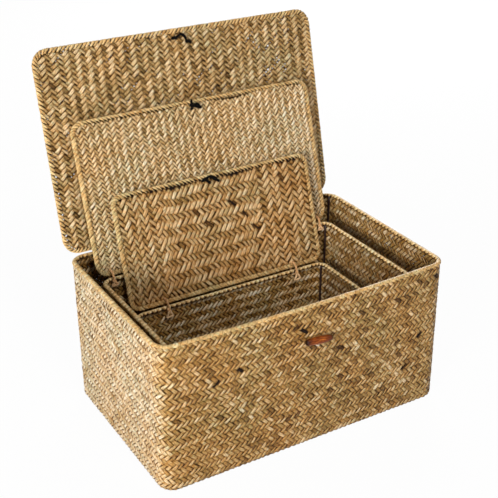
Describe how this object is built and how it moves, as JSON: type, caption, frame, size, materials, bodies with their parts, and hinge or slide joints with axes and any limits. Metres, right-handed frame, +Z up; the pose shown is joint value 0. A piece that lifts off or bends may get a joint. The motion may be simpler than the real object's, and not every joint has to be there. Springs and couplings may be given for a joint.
{
  "type": "nest of woven lidded boxes",
  "caption": "Nest of plaited seagrass boxes with wire frames, flat lids tied on with twine, and elastic loops that hook over wooden toggles; the lids stand open.",
  "frame": {"origin": "middle of the large box's flat underside", "axes": "+Z up; the front with the toggles faces -Y; +X to the right seen from the front; hinges at the back, +Y"},
  "size_m": [0.401, 0.3332, 0.4468],
  "materials": {
    "seagrass": "dry plaited flat strands, tan to olive",
    "edge_seagrass": "paler strand wound over the edges",
    "coated_wire": "dark red-brown coating, satin",
    "jute_twine": "two-ply twisted twine",
    "lacquered_wood": "glossy red-brown lacquer",
    "cotton_cord": "off-white twisted cord",
    "elastic_cord": "black braided elastic, matt"
  },
  "bodies": {
    "large_box": {"large_woven_body": "seagrass", "large_rim_binding": "edge_seagrass", "large_wire_frame": "coated_wire", "large_left_tie": "jute_twine", "large_right_tie": "jute_twine"},
    "large_lid": {"large_lid_panel": "seagrass", "large_lid_wire": "coated_wire", "large_lid_binding": "edge_seagrass", "large_lid_loop": "elastic_cord"},
    "large_fastening": {"large_toggle": "lacquered_wood", "large_toggle_cord": "cotton_cord"},
    "medium_box": {"medium_woven_body": "seagrass", "medium_rim_binding": "edge_seagrass", "medium_wire_frame": "coated_wire", "medium_left_tie": "jute_twine", "medium_right_tie": "jute_twine"},
    "medium_lid": {"medium_lid_panel": "seagrass", "medium_lid_wire": "coated_wire", "medium_lid_binding": "edge_seagrass", "medium_lid_loop": "elastic_cord"},
    "medium_fastening": {"medium_toggle": "lacquered_wood", "medium_toggle_cord": "cotton_cord"},
    "small_box": {"small_woven_body": "seagrass", "small_rim_binding": "edge_seagrass", "small_wire_frame": "coated_wire", "small_left_tie": "jute_twine", "small_right_tie": "jute_twine"},
    "small_lid": {"small_lid_panel": "seagrass", "small_lid_wire": "coated_wire", "small_lid_binding": "edge_seagrass", "small_lid_loop": "elastic_cord"},
    "small_fastening": {"small_toggle": "lacquered_wood", "small_toggle_cord": "cotton_cord"}
  },
  "joints": [
    {"name": "large_lid_hinge", "type": "hinge", "parent": "large_box", "child": "large_lid", "pos_m": [-0.003, 0.128, 0.1983], "axis": [-1, 0, 0], "range_deg": [-103.4, 0]},
    {"name": "medium_lid_hinge", "type": "hinge", "parent": "medium_box", "child": "medium_lid", "pos_m": [-0.001, 0.0945, 0.1737], "axis": [-1, 0, 0], "range_deg": [-107.01, 0]},
    {"name": "small_lid_hinge", "type": "hinge", "parent": "small_box", "child": "small_lid", "pos_m": [0.002, 0.0675, 0.1281], "axis": [-1, 0, 0], "range_deg": [-107.45, 0]},
    {"name": "medium_box_lift", "type": "slide", "parent": "large_box", "child": "medium_box", "axis": [0, 0, 1], "range_m": [0, 0.2]},
    {"name": "small_box_lift", "type": "slide", "parent": "medium_box", "child": "small_box", "axis": [0, 0, 1], "range_m": [0, 0.175]},
    {"name": "large_toggle_swivel", "type": "hinge", "parent": "large_box", "child": "large_fastening", "pos_m": [0.0025, -0.13074, 0.152], "axis": [0, 1, 0], "range_deg": [-90, 90]},
    {"name": "medium_toggle_swivel", "type": "hinge", "parent": "medium_box", "child": "medium_fastening", "pos_m": [0.0015, -0.1014, 0.1314], "axis": [0, 1, 0], "range_deg": [-90, 90]},
    {"name": "small_toggle_swivel", "type": "hinge", "parent": "small_box", "child": "small_fastening", "pos_m": [0.0045, -0.0832, 0.0938], "axis": [0, 1, 0], "range_deg": [-90, 90]}
  ],
  "couplings": [
    {"joint": "medium_lid_hinge", "follows": "large_lid_hinge", "ratio": 1.0348},
    {"joint": "small_lid_hinge", "follows": "large_lid_hinge", "ratio": 1.0391}
  ]
}
